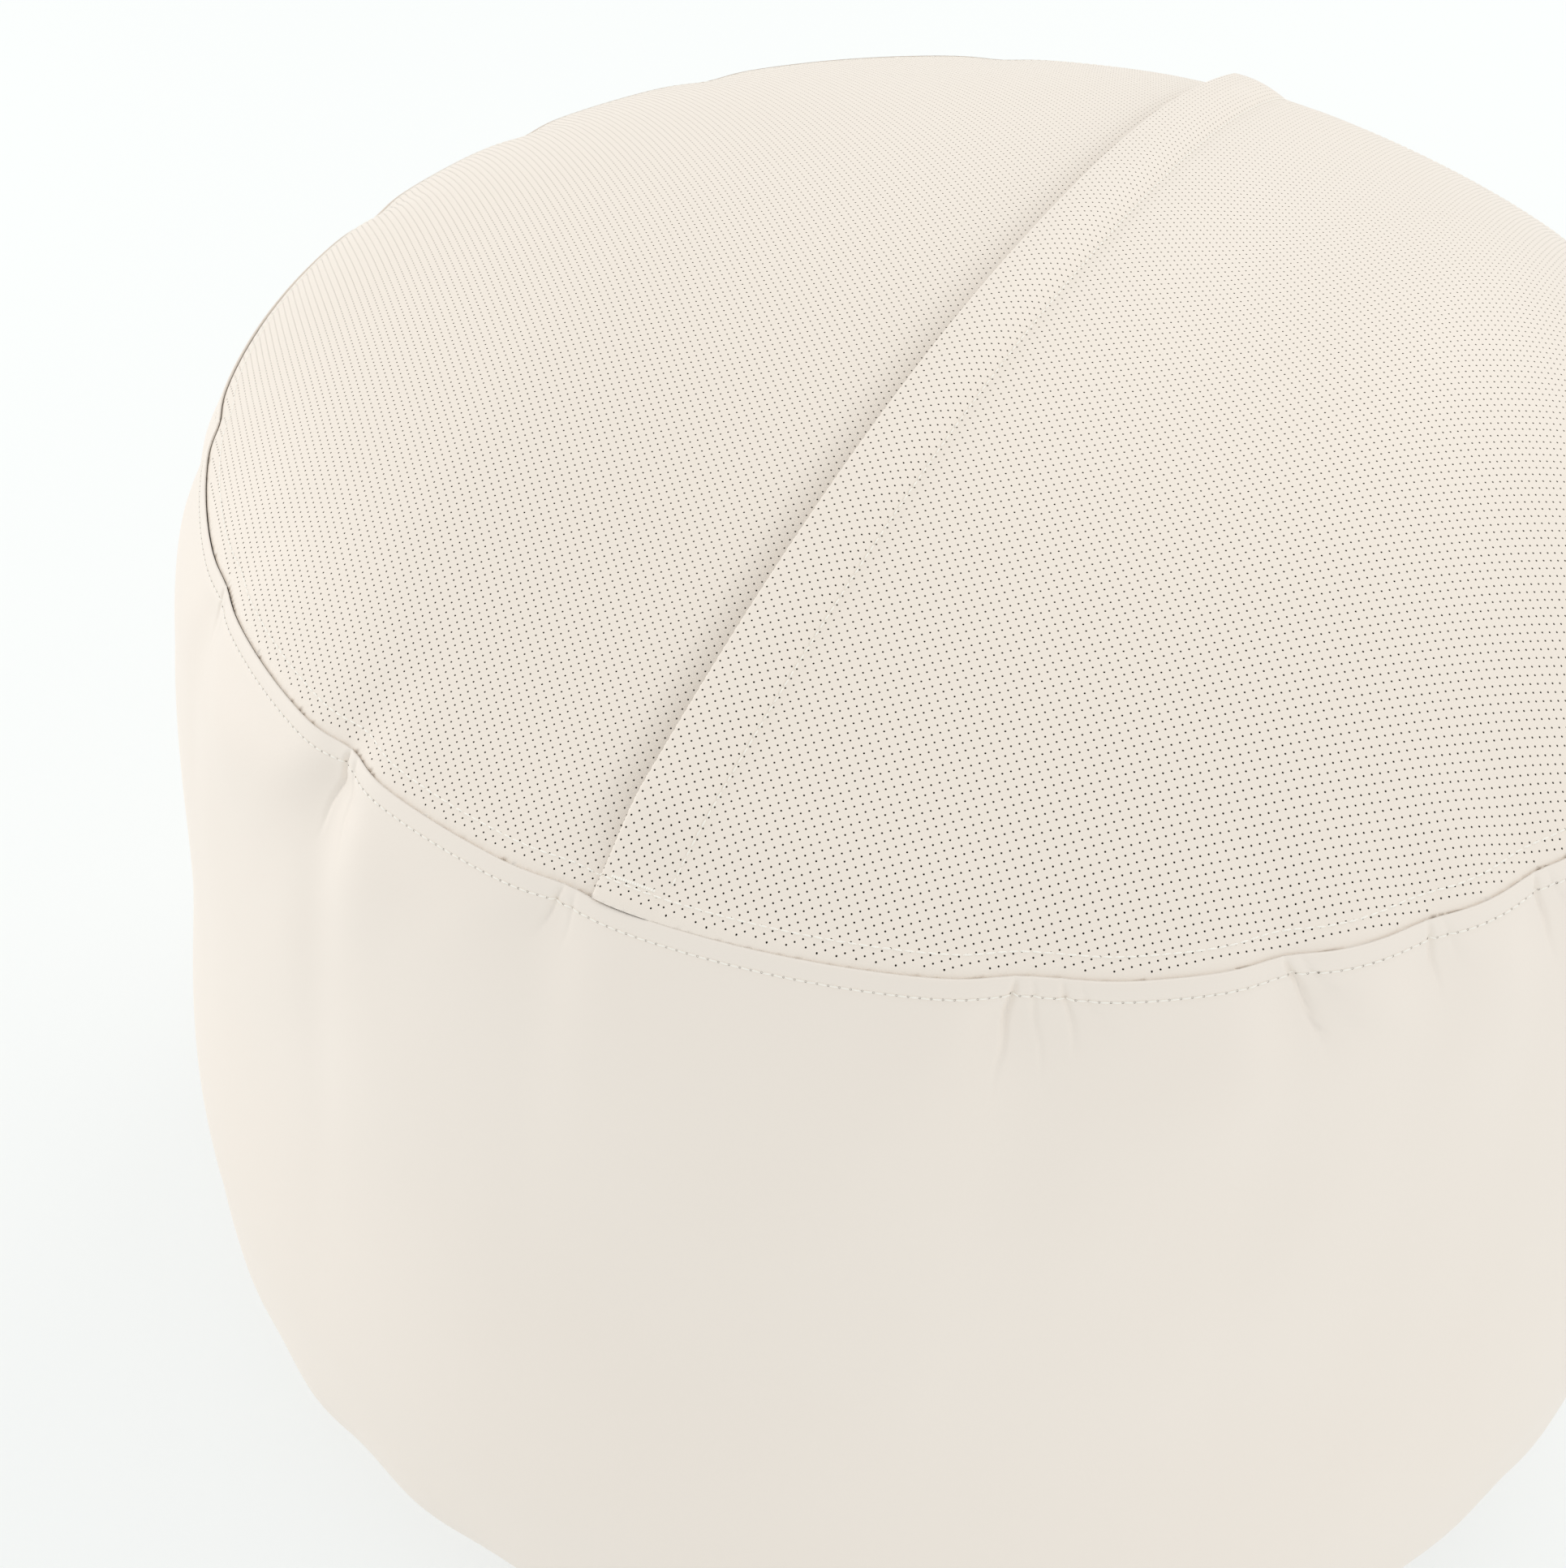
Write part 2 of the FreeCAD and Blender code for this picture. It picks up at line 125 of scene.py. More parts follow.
def round_crown(r):
    """Arc of the dome, then a parabola that leaves it at its own slope and meets the rim seam."""
    start, drop = RIM - ROLL_WIDTH, CROWN - ROLL_RISE
    radius = (start ** 2 + drop ** 2) / (2 * drop)
    slope = start / math.sqrt(radius ** 2 - start ** 2)
    t = np.clip((r - start) / ROLL_WIDTH, 0, 1)
    dome = CROWN - radius + np.sqrt(radius ** 2 - np.minimum(r, start) ** 2)
    return dome - slope * ROLL_WIDTH * t - (ROLL_RISE - slope * ROLL_WIDTH) * t * t


def rim_share(x, y):
    """Share of the way to the rim; the dents die away inwards over the outer fifth."""
    a, r = np.arctan2(y, x), np.hypot(x, y)
    return r / rim_radius(a, ease(r / rim_radius(a, 0.0), 0.8, 0.995))


def crown(x, y):
    """Dome height at (x, y): round beside the zip, and away from it fuller, tilted and saddle-shaped,
    h (1 - p^3) + (1 - p^2) (tilt p cos + saddle p^2 cos 2), with p the share of the way to the rim."""
    a, p = np.arctan2(y, x), rim_share(x, y)
    plain = round_crown(np.minimum(p, 1) * RIM)
    lean = 0.0464 * p * np.cos(turned(a, -43.0)) + 0.1141 * p ** 2 * np.cos(2 * turned(a, 23.85))
    soft = 0.0574 * (1 - p ** 3.05) + RIM * (1 - p ** 2) * lean
    away = ease(np.abs(x - ZIP_X), 0.035, 0.13)
    return RIM_Z + plain + away * (soft - plain) - 0.0010 * ease(p, 0.992, 1.0)


arc_radius = np.linspace(0, 0.27, 541)
arc_steps = np.hypot(np.diff(arc_radius), np.diff(round_crown(arc_radius)))
arc_length = np.concatenate([[0], np.cumsum(arc_steps)])


def drift(u, v):
    """The flap runs a few millimetres towards -X at its back end, and takes the leather beside it along."""
    return DRIFT * ease(v, 0.0, 0.22) * hump(u - ZIP_X, 0.08)


def on_crown(u, v):
    """Plan place of a place in the flat leather, u across the zip and v along it, kept inside the rim."""
    u = u - drift(u, v)
    s = np.maximum(np.hypot(u, v), 1e-9)
    r = np.interp(s, arc_length, arc_radius)
    edge = rim_radius(np.arctan2(v, u)) - SEAM_GAP
    k = np.minimum(r, edge) / s
    return u * k, v * k, r >= edge


def in_leather(x, y):
    """The other way: from a plan place to the flat leather."""
    r = np.maximum(np.hypot(x, y), 1e-9)
    k = np.interp(r, arc_radius, arc_length) / r
    return x * k + drift(x * k, y * k), y * k


def lifted(x, y, lift):
    """Points over the crown by lift, measured along its normal, and that normal."""
    d = 0.0005
    normal = np.stack([-(crown(x + d, y) - crown(x - d, y)) / (2 * d),
                       -(crown(x, y + d) - crown(x, y - d)) / (2 * d), np.ones_like(x)], -1)
    normal /= np.linalg.norm(normal, axis=-1, keepdims=True)
    return np.stack([x, y, crown(x, y)], -1) + normal * lift[..., None], normal


def flap_fade(x, y):
    """The flap's height is pressed down to a quarter where it is sewn into the rim, sooner at the back."""
    return 1 - 0.75 * ease(rim_share(x, y), np.where(y > 0, 0.84, 0.88), 0.985)


def swell(u):
    """The right panel rises towards the flap, which lies on the zip."""
    return RIGHT_SWELL * hump(np.maximum(u - STITCH_X, 0), 0.042)


def panel_lift(u, x, y):
    """The left panel dips towards the flap's free edge; the right one rises to its topstitching."""
    left = -LEFT_DIP * ease(u, -0.007, FLAP_EDGE)
    right = swell(u) - STITCH_DIP * hump(u - STITCH_X, STITCH_DIP_WIDTH)
    return np.where(u > LEFT_EDGE + 0.001, right, left) * flap_fade(x, y)


def flap_rise(across):
    """Height over the crown, from the topstitching across: the right panel's, and the rest of the
    flap's times 1 - (1 - q)^2.4."""
    q = np.clip(across / (FLAP_WIDTH - FOLD), 0, 1)
    return RIGHT_SWELL + (FLAP_HEIGHT - RIGHT_SWELL) * (1 - (1 - q) ** 2.4)


def flap_section():
    """The flap's section, as (across, up) places and their length: over its top, round the fold
    and a narrow hem underneath."""
    q = np.linspace(0, 1, 60)
    reach = FLAP_WIDTH - FOLD
    turn = np.linspace(math.pi / 2, -math.pi / 2, 24)[1:]
    back = np.linspace(reach, 0.72 * reach, 12)[1:]
    across = np.concatenate([q * reach, reach + FOLD * np.cos(turn), back])
    fold = FLAP_HEIGHT - FOLD + FOLD * np.sin(turn)
    up = np.concatenate([flap_rise(q * reach), fold, flap_rise(back) - 2 * FOLD])
    length = np.concatenate([[0], np.cumsum(np.hypot(np.diff(across), np.diff(up)))])
    return across, up, length


def outer_lift(x, y):
    """Height of the outermost layer over the crown at a plan place: a panel's, or the flap's."""
    u, _ = in_leather(x, y)
    over = flap_rise(STITCH_X - u) * flap_fade(x, y) * (u > FLAP_EDGE) * (u < STITCH_X)
    return np.where(over > 0, over, panel_lift(u, x, y))


def wall_radius(a, d):
    """Wall's radius at angle a and depth d below the rim seam: the outline, the rim's own shape dying
    away downwards, a rounded upper edge, the stitch row's groove, the gathers and slow waves."""
    r = RIM * smooth_line(d / RIM_Z, DOWN, OUT)
    r = r * (1 + (rim_radius(a) / RIM - 1) * np.exp(-d / 0.09))
    r = r + ease(d, 0.0, 0.12) * (0.0010 * np.cos(turned(a, 51)) + 0.0019 * np.cos(2 * turned(a, 36.8)))
    r = r + SEAM_GAP + 0.0007 * np.sqrt(1 - (1 - np.clip(d / 0.0014, 0, 1)) ** 2)
    r = r - 0.0004 * hump(d - STITCH_DEPTH, 0.0010)
    for place, pinch, length, lean in PUCKERS:
        side = turned(a, place) * RIM - lean * d - 0.0004 * np.sin(d * 420 + place)
        fan = side / (0.0035 + 0.55 * d)
        hollow = 1.3 * pinch * np.exp(-fan ** 2) * ease(d, 0.002, 0.012) * np.exp(-d / 0.05)
        sharp = hump(side, 0.0009) + 0.45 * hump(side - 0.0042 - 0.3 * d, 0.0008)
        crease = 0.026 * pinch ** 0.5 * sharp * (1 - ease(d, 0.25 * length, length)) * ease(d, -0.001, 0.003)
        bulge = 0.35 * pinch * hump(np.abs(side) - 0.015 - 0.25 * d, 0.011)
        bulge = bulge * ease(d, 0.004, 0.02) * np.exp(-d / 0.05)
        r = r - hollow - crease + bulge
    waves = 0.0009 * np.sin(5 * a + 1.3 + 9 * d) + 0.0006 * np.sin(9 * a + 0.4 - 17 * d)
    pulls = np.sin(23 * a + 55 * d + 1.5 * np.sin(4 * a)) * (0.5 + 0.5 * np.sin(6 * a + 1.1))
    r = r + waves * ease(d, 0.01, 0.08) + 0.0017 * pulls * ease(d, 0.006, 0.03) * np.exp(-d / 0.07)
    folds = np.sin(29 * a + 2.2 * np.sin(3 * a + 1)) * (0.55 + 0.45 * np.sin(7 * a + 2))
    return r + 0.0017 * folds * ease(d, 0.29, 0.36)


def wall_point(a, d, inset=0.0):
    r = wall_radius(a, d) - inset
    return np.stack([r * np.cos(a), r * np.sin(a), RIM_Z - d + np.zeros_like(r)], -1)


def level_ring(r, a, z):
    """Points at angles a, radius r and height z."""
    return np.stack([r * np.cos(a), r * np.sin(a), np.full_like(a, z)], -1)


def wall_normal(a, d):
    """Outward normal from the wall's slope round and down, both over about a millimetre."""
    step = 0.0008
    round_it = wall_point(a + step / RIM, d) - wall_point(a - step / RIM, d)
    down = wall_point(a, d + step) - wall_point(a, d - step)
    normal = np.cross(down, round_it)
    return normal / np.linalg.norm(normal, axis=-1, keepdims=True)


# ---- meshes -------------------------------------------------------------------------------------------

def make_piece(name, points, faces, materials, kinds=None, uv=None, depth=None):
    """An object from a list of face arrays, one array for each number of corners. kinds gives each
    array's material, uv a place on the map for each point, and depth how far down a hole it is."""
    loops = np.concatenate([f.ravel() for f in faces])
    sizes = np.concatenate([np.full(len(f), f.shape[1]) for f in faces])
    used, loops = np.unique(loops, return_inverse=True)
    mesh = bpy.data.meshes.new(name)
    mesh.vertices.add(len(used))
    mesh.vertices.foreach_set("co", points[used].astype(np.float32).ravel())
    mesh.loops.add(len(loops))
    mesh.loops.foreach_set("vertex_index", loops.astype(np.int32).ravel())
    mesh.polygons.add(len(sizes))
    mesh.polygons.foreach_set("loop_start", (np.cumsum(sizes) - sizes).astype(np.int32))
    if kinds is not None:
        kind = np.repeat(kinds, [len(f) for f in faces])
        mesh.polygons.foreach_set("material_index", kind.astype(np.int32))
    mesh.update(calc_edges=True)
    if uv is not None:
        layer = mesh.uv_layers.new(name="OFBake")
        layer.data.foreach_set("uv", uv[used][loops.ravel()].astype(np.float32).ravel())
    if depth is not None:
        down = mesh.attributes.new("hole_depth", "FLOAT", "POINT")
        down.data.foreach_set("value", depth[used].astype(np.float32))
    mesh.shade_smooth()
    for material in materials:
        mesh.materials.append(material)
    piece = bpy.data.objects.new(name, mesh)
    bpy.context.scene.collection.objects.link(piece)
    return piece


def grid_faces(rows, columns, closed):
    """Quads of a grid whose points run along each row in turn; closed joins the last column to the first."""
    i = np.arange(rows - 1)[:, None]
    j = np.arange(columns if closed else columns - 1)[None]
    k = (j + 1) % columns
    quads = [i * columns + j, (i + 1) * columns + j, (i + 1) * columns + k, i * columns + k]
    return np.stack(quads, -1).reshape(-1, 4)


def punched_sheet(name, low, high, place, holed, materials, flip=False):
    """Leather with staggered rows of holes. Cells are laid like bricks, six corners round a six-sided
    hole, and each hole is a small pit in painted shade; place gives the point and outward normal of a flat
    place."""
    rows = round((high - low) / ROW)
    width = (high - low) / rows
    ends = 168                     # lines from the middle to past either end
    lines = np.arange(-ends, ends + 1)
    u, v = np.meshgrid(low + width * np.arange(rows + 1), ROW * lines, indexing="ij")
    grid, _, outside = place(u.ravel(), v.ravel())
    row, k = np.meshgrid(np.arange(rows), np.arange(1, ends - 1), indexing="ij")
    middle = (2 * k + row % 2).ravel()
    row = row.ravel()
    n = len(lines)
    corners = np.stack([row * n + middle - 1, (row + 1) * n + middle - 1, (row + 1) * n + middle,
                        (row + 1) * n + middle + 1, row * n + middle + 1, row * n + middle], -1)
    kept = ~outside[corners].all(1)
    corners, row, middle = corners[kept], row[kept], middle[kept]
    centre_u, centre_v = low + width * (row + 0.5), ROW * lines[middle]
    open_cell = holed(centre_u, centre_v) & ~outside[corners].any(1)
    plain, punched = corners[~open_cell], corners[open_cell]
    centre_u, centre_v = centre_u[open_cell], centre_v[open_cell]
    turn = np.radians([-120, -60, 0, 60, 120, 180])
    ring_u = centre_u[:, None] + HOLE * np.cos(turn)
    ring_v = centre_v[:, None] + HOLE * np.sin(turn)
    ring, outward, _ = place(ring_u.ravel(), ring_v.ravel())
    bottom, inward, _ = place(centre_u, centre_v)
    bottom = bottom - HOLE_DEPTH * inward
    points = np.concatenate([grid, ring, ring - 0.00002 * outward, bottom])
    flat_ring = np.stack([ring_u.ravel(), ring_v.ravel()], -1)
    flat = np.concatenate([np.stack([u.ravel(), v.ravel()], -1), flat_ring, flat_ring,
                           np.stack([centre_u, centre_v], -1)])
    count = len(punched)
    ring_at = len(grid) + np.arange(count)[:, None] * 6 + np.arange(6)
    pit_at = ring_at + 6 * count
    bottom_at = len(grid) + 12 * count + np.arange(count)
    after = np.roll(np.arange(6), -1)
    around = np.stack([punched, punched[:, after], ring_at[:, after], ring_at], -1).reshape(-1, 4)
    halves = np.concatenate([plain[:, [0, 1, 2, 5]], plain[:, [5, 2, 3, 4]]])
    pits = np.stack([pit_at, pit_at[:, after], np.repeat(bottom_at[:, None], 6, 1)], -1).reshape(-1, 3)
    faces = [np.concatenate([around, halves]), pits]
    if flip:
        faces = [f[:, ::-1] for f in faces]
    # hole_depth is 1 at each pit's bottom and drives the painted shade that darkens the holes downwards.
    depth = np.zeros(len(points))
    depth[bottom_at] = 1
    return make_piece(name, points, faces, materials, [0, 1], flat / 0.6 + 0.5, depth)


def bead(turns=6, rings=5):
    """A low ball of unit radius along X, as a thread's short bulge: its points and faces."""
    t = np.linspace(0, math.pi, rings + 1)[1:-1]
    a = np.linspace(0, 2 * math.pi, turns, endpoint=False)
    t, a = (m.ravel() for m in np.meshgrid(t, a, indexing="ij"))
    points = np.stack([-np.cos(t), np.sin(t) * np.cos(a), np.sin(t) * np.sin(a)], -1)
    points = np.concatenate([points, [[-1, 0, 0], [1, 0, 0]]])
    j = np.arange(turns)
    k = (j + 1) % turns
    first, last = len(points) - 2, len(points) - 1
    start = np.stack([np.full(turns, first), k, j], -1)
    tail = (rings - 2) * turns
    end = np.stack([np.full(turns, last), tail + j, tail + k], -1)
    return points, grid_faces(rings - 1, turns, True)[:, ::-1], np.concatenate([start, end])


def along(line, outward, pitch, offset=0.0):
    """Places every pitch along a line: the point, the way ahead, sideways and outward."""
    length = np.concatenate([[0], np.cumsum(np.linalg.norm(np.diff(line, axis=0), axis=1))])
    count = max(1, round(length[-1] / pitch))
    at = (np.arange(count) + 0.5 + offset) * length[-1] / count

    def read(values, where):
        where = np.clip(where, 0, length[-1])
        return np.stack([np.interp(where, length, values[:, c]) for c in range(3)], -1)

    ahead = read(line, at + pitch / 4) - read(line, at - pitch / 4)
    ahead /= np.linalg.norm(ahead, axis=1, keepdims=True)
    up = read(outward, at)
    side = np.cross(up, ahead)
    side /= np.linalg.norm(side, axis=1, keepdims=True)
    return read(line, at), ahead, side, np.cross(ahead, side)


def stitch_row(name, line, outward, pitch=STITCH, width=0.00062, height=0.00042, reach=0.45):
    """A row of stitches: each a bead 0.9 of the pitch long, half sunk in the leather and a little askew."""
    points, quads, ends = bead()
    middle, ahead, side, up = along(line, outward, pitch)
    askew = np.random.default_rng(7).normal(0, 0.05, len(middle))[:, None]
    ahead, side = ahead + side * askew, side - ahead * askew
    x, y, z = points.T
    made = (middle[:, None] + ahead[:, None] * (x * reach * pitch)[None, :, None]
            + side[:, None] * (y * width / 2)[None, :, None] + up[:, None] * (z * height)[None, :, None])
    shift = (np.arange(len(middle)) * len(points))[:, None, None]
    faces = [(quads[None] + shift).reshape(-1, 4), (ends[None] + shift).reshape(-1, 3)]
    return make_piece(name, made.reshape(-1, 3), faces, [thread])


def needle_holes(name, line, outward, pitch=STITCH, radius=0.00030):
    """A small dark six-sided pit between each stitch and the next."""
    middle, ahead, side, up = along(line, outward, pitch, 0.5)
    turn = np.arange(6) * math.pi / 3
    ring = (middle[:, None] + up[:, None] * 0.00008 + ahead[:, None] * (radius * np.cos(turn))[None, :, None]
            + side[:, None] * (radius * np.sin(turn))[None, :, None])
    points = np.concatenate([ring.reshape(-1, 3), middle - up * 0.0003])
    j = np.arange(6)
    k = (j + 1) % 6
    base = (np.arange(len(middle)) * 6)[:, None]
    tips = 6 * len(middle) + np.arange(len(middle))[:, None] + np.zeros((1, 6), int)
    faces = np.stack([base + j, base + k, tips], -1).reshape(-1, 3)
    return make_piece(name, points, [faces], [pit])


# ---- materials ----------------------------------------------------------------------------------------

def linear(hex_colour):
    """sRGB hex to linear red, green, blue and alpha."""
    parts = [int(hex_colour[i:i + 2], 16) / 255 for i in (0, 2, 4)]
    return [c / 12.92 if c <= 0.04045 else ((c + 0.055) / 1.055) ** 2.4 for c in parts] + [1.0]


def add(tree, kind, values, links, **settings):
    """One shader node with its socket values, its links and its own settings."""
    made = tree.nodes.new("ShaderNode" + kind)
    for name, value in settings.items():
        setattr(made, name, value)
    for name, value in values.items():
        made.inputs[name].default_value = value
    for name, source in links.items():
        tree.links.new(source, made.inputs[name])
    return made


def surface(name, hex_colour, roughness, ior=1.5, sheen=0.0):
    """A plain finish; returns the material and its shader."""
    made = bpy.data.materials.new(name)
    made.use_nodes = True
    shader = made.node_tree.nodes["Principled BSDF"]
    shader.inputs["Base Color"].default_value = linear(hex_colour)
    shader.inputs["Roughness"].default_value = roughness
    shader.inputs["IOR"].default_value = ior
    shader.inputs["Sheen Weight"].default_value = sheen
    return made, shader


def relief(shader, tree, height, source, strength=1.0):
    """Bump of the given height in metres from a 0 to 1 pattern."""
    made = add(tree, "Bump", {"Strength": strength, "Distance": height}, {"Height": source})
    tree.links.new(made.outputs["Normal"], shader.inputs["Normal"])


def leather_finish(name, hex_colour, darker):
    """Polyurethane-coated imitation leather: embossed pebbles about 0.9 mm across, satin, faintly mottled."""
    made, shader = surface(name, hex_colour, 0.5)
    tree = made.node_tree
    place = add(tree, "TexCoord", {}, {}).outputs["Object"]
    pebbles = add(tree, "TexVoronoi", {"Scale": 1100.0}, {"Vector": place}, feature="SMOOTH_F1")
    fine = add(tree, "TexNoise", {"Scale": 2600.0, "Detail": 2.0}, {"Vector": place})
    grain = add(tree, "MixRGB", {"Fac": 0.35},
                {"Color1": pebbles.outputs["Distance"], "Color2": fine.outputs["Fac"]})
    relief(shader, tree, 0.00005, grain.outputs["Color"], 0.5)
    cloud = add(tree, "TexNoise", {"Scale": 7.0, "Detail": 3.0}, {"Vector": place})
    tint = add(tree, "MixRGB", {"Color1": linear(hex_colour), "Color2": linear(darker)},
               {"Fac": cloud.outputs["Fac"]})
    tree.links.new(tint.outputs["Color"], shader.inputs["Base Color"])
    return made


def woven_finish(name, hex_colour, thread_size):
    """Matte plain-weave cloth: two crossed waves, one yarn apart."""
    made, shader = surface(name, hex_colour, 0.85, sheen=0.2)
    tree = made.node_tree
    place = add(tree, "TexCoord", {}, {}).outputs["Object"]
    scale = 0.31416 / thread_size / 2
    warp = add(tree, "TexWave", {"Scale": scale}, {"Vector": place}, bands_direction="X")
    weft = add(tree, "TexWave", {"Scale": scale}, {"Vector": place}, bands_direction="Y")
    both = add(tree, "MixRGB", {"Fac": 0.5},
               {"Color1": warp.outputs["Color"], "Color2": weft.outputs["Color"]})
    relief(shader, tree, thread_size * 0.2, both.outputs["Color"])
    return made


def hole_edge_and_shade_finish():
    """A punched hole: the leather's pale cut edge for its first fifth, then painted shade for its depth."""
    # 26221D is painted shade, standing in for the depth of a punched hole.
    made, shader = surface("hole_edge_and_painted_shade", "26221D", 1.0)
    tree = made.node_tree
    down = add(tree, "Attribute", {}, {}, attribute_name="hole_depth")
    share = add(tree, "MapRange", {"From Min": 0.03, "From Max": 0.18}, {"Value": down.outputs["Fac"]})
    tint = add(tree, "MixRGB", {"Color1": linear("E9E0D4"), "Color2": linear("26221D")},
               {"Fac": share.outputs["Result"]})
    tree.links.new(tint.outputs["Color"], shader.inputs["Base Color"])
    return made


def thread_finish():
    """Spun polyester thread: fine twist across each stitch."""
    made, shader = surface("spun_polyester_thread", "FBF7EF", 0.6, sheen=0.2)
    tree = made.node_tree
    place = add(tree, "TexCoord", {}, {}).outputs["Object"]
    twist = add(tree, "TexNoise", {"Scale": 5200.0, "Detail": 1.0}, {"Vector": place})
    relief(shader, tree, 0.00005, twist.outputs["Fac"], 0.6)
    return made


smooth_leather = leather_finish("imitation_leather_smooth", "F1E9E0", "EEE5DB")
punched_leather = leather_finish("imitation_leather_punched", "F2E9DF", "EFE6DB")
thread = thread_finish()
pit = surface("needle_hole_shadow", "5A5248", 1.0)[0]               # shadow in a needle hole
# Hole finish: pale cut edge, then painted shade down each punched hole.
hole_edge_and_shade = hole_edge_and_shade_finish()
seam_shade = surface("seam_painted_shade", "ADA498", 0.9)[0]          # painted shade for the rim and back seam lines, darker than the leather
tape_cloth = woven_finish("woven_polyester_tape", "DCD6CB", 0.0006)
zip_cloth = woven_finish("woven_zip_tape", "E2DBCF", 0.0005)
base_cloth = woven_finish("coated_base_cloth", "CFC8BB", 0.0009)
bag_cloth = woven_finish("nonwoven_bag_cloth", "EDEDEA", 0.0007)
coil_nylon = surface("moulded_nylon_coil", "DED6C9", 0.35, ior=1.53)[0]
enamel = surface("enamelled_zinc_zip_metal", "D9D2C6", 0.3)[0]      # baked enamel over die-cast zinc
beads = surface("expanded_polystyrene", "F7F7F5", 0.9)[0]


# ---- outer cover --------------------------------------------------------------------------------------

def panel_place(u, v):
    x, y, outside = on_crown(u, v)
    points, normal = lifted(x, y, panel_lift(u, x, y))
    return points, normal, outside


def flap_place(w, v):
    """w runs along the flap's section from the topstitching, over the top, round the fold and under."""
    across, up, length = flap_section()
    at, rise = np.interp(w, length, across), np.interp(w, length, up)
    tilt_across = np.interp(w, length, np.gradient(across, length))
    tilt_up = np.interp(w, length, np.gradient(up, length))
    u = STITCH_X - at
    x, y, outside = on_crown(u, v)
    lift = (rise - STITCH_DIP * hump(at, STITCH_DIP_WIDTH)) * flap_fade(x, y)
    points, normal = lifted(x, y, lift)
    outward = normal * tilt_across[..., None] + np.array([1.0, 0, 0]) * tilt_up[..., None]
    outward /= np.linalg.norm(outward, axis=-1, keepdims=True)
    return points, outward, outside


def everywhere(u, v):
    return np.ones(u.shape, bool)


def top_panel(name, low, high, node):
    piece = punched_sheet(name, low, high, panel_place, everywhere, [punched_leather, hole_edge_and_shade])
    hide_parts(node)
    return piece


def flap():
    """The right panel folded back over the zip; holes run on to the fold, and its underside is plain."""
    length = flap_section()[2][-1]
    seen = 1.15 * FLAP_WIDTH
    piece = punched_sheet("cover_zip_flap", 0.0, length, flap_place, lambda w, v: w < seen,
                          [punched_leather, hole_edge_and_shade], flip=True)
    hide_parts("zip_flap")
    return piece


def wall_columns(count=860):
    """Angles round the wall, closer together at the gathers."""
    fine = np.linspace(-math.pi, math.pi, 7201)
    weight = np.ones_like(fine)
    for place, _, _, _ in PUCKERS:
        weight += 7 * hump(turned(fine, place) * RIM, 0.007)
    total = np.concatenate([[0], np.cumsum((weight[1:] + weight[:-1]) / 2)])
    return np.interp(np.arange(count) / count * total[-1], total, fine)


def side_wall():
    """Lathe-like grid of wall points, from inside the rim seam over the edge and down to the base seam."""
    a = wall_columns()
    depth = np.concatenate([
        [0, 0.0003, 0.0007, 0.0012, 0.0018, 0.0025, 0.0034, 0.0042, 0.0048, 0.0052, 0.0056, 0.0060],
        [0.0064, 0.0070],
        np.arange(0.0080, 0.052, 0.0018), np.arange(0.054, 0.29, 0.0075),
        np.arange(0.292, RIM_Z - WALL_FOOT, 0.0045),
        [RIM_Z - WALL_FOOT]])
    body = wall_point(a[None], depth[:, None])
    edge = rim_radius(a) + SEAM_GAP
    skirt = np.stack([level_ring(edge, a, RIM_Z - down) for down in (0.0040, 0.0015)])
    inner = level_ring(BASE + 0.0005, a, 0.0012)
    points = np.concatenate([skirt, body, inner[None]])
    rows, columns = points.shape[:2]
    piece = make_piece("cover_side_wall", points.reshape(-1, 3), [grid_faces(rows, columns, True)],
                       [smooth_leather])
    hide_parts("side_wall")
    return piece


def rim_allowance():
    """The top panels' edge, turned down into the rim seam."""
    a = np.linspace(-math.pi, math.pi, 900, endpoint=False)
    rows = [level_ring(rim_radius(a) - SEAM_GAP, a, RIM_Z - down) for down in (0.0012, 0.0050)]
    # The turned-down edge wears painted shade, darkening the rim seam's line.
    return make_piece("cover_top_edge", np.concatenate(rows), [grid_faces(2, len(a), True)], [seam_shade])


def tape(name, low, high, start, end, node):
    """Reinforcing tape behind the wall's leather between two depths and two angles."""
    whole = end - start > 6.2
    a = np.linspace(start, end, 360, endpoint=not whole)
    d = np.linspace(low, high, 40)
    grid = wall_point(a[None], d[:, None], TAPE_INSET)
    piece = make_piece(name, grid.reshape(-1, 3), [grid_faces(len(d), len(a), whole)], [tape_cloth])
    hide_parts(node)
    return piece


# ---- stitch rows --------------------------------------------------------------------------------------

def stitched(name, line, outward, node, **sizes):
    piece = stitch_row(name, line, outward, **sizes)
    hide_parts(node)
    return piece


def around(count=5400):
    return np.linspace(-math.pi, math.pi, count)


def wall_row(name, depth, node):
    """A row round the wall, where the needle holes show between the stitches."""
    a = around()
    d = np.full_like(a, depth)
    line, outward = wall_point(a, d), wall_normal(a, d)
    return [stitched(name, line, outward, node), needle_holes(name + "_needle_holes", line, outward)]


def rim_row_top():
    a = around()
    r = rim_radius(a) - STITCH_INSET
    x, y = r * np.cos(a), r * np.sin(a)
    line, outward = lifted(x, y, outer_lift(x, y))
    return stitched("thread_rim_top", line, outward, "rim_stitch_top", height=TOP_THREAD)


def zip_row(name, u, node):
    """A row along the zip, at u in the flat leather."""
    v = np.linspace(-0.252, 0.252, 2400)
    u = np.full_like(v, u)
    x, y, _ = on_crown(u, v)
    line, outward = lifted(x, y, panel_lift(u, x, y) + 0.00005)
    return stitched(name, line, outward, node, height=TOP_THREAD)


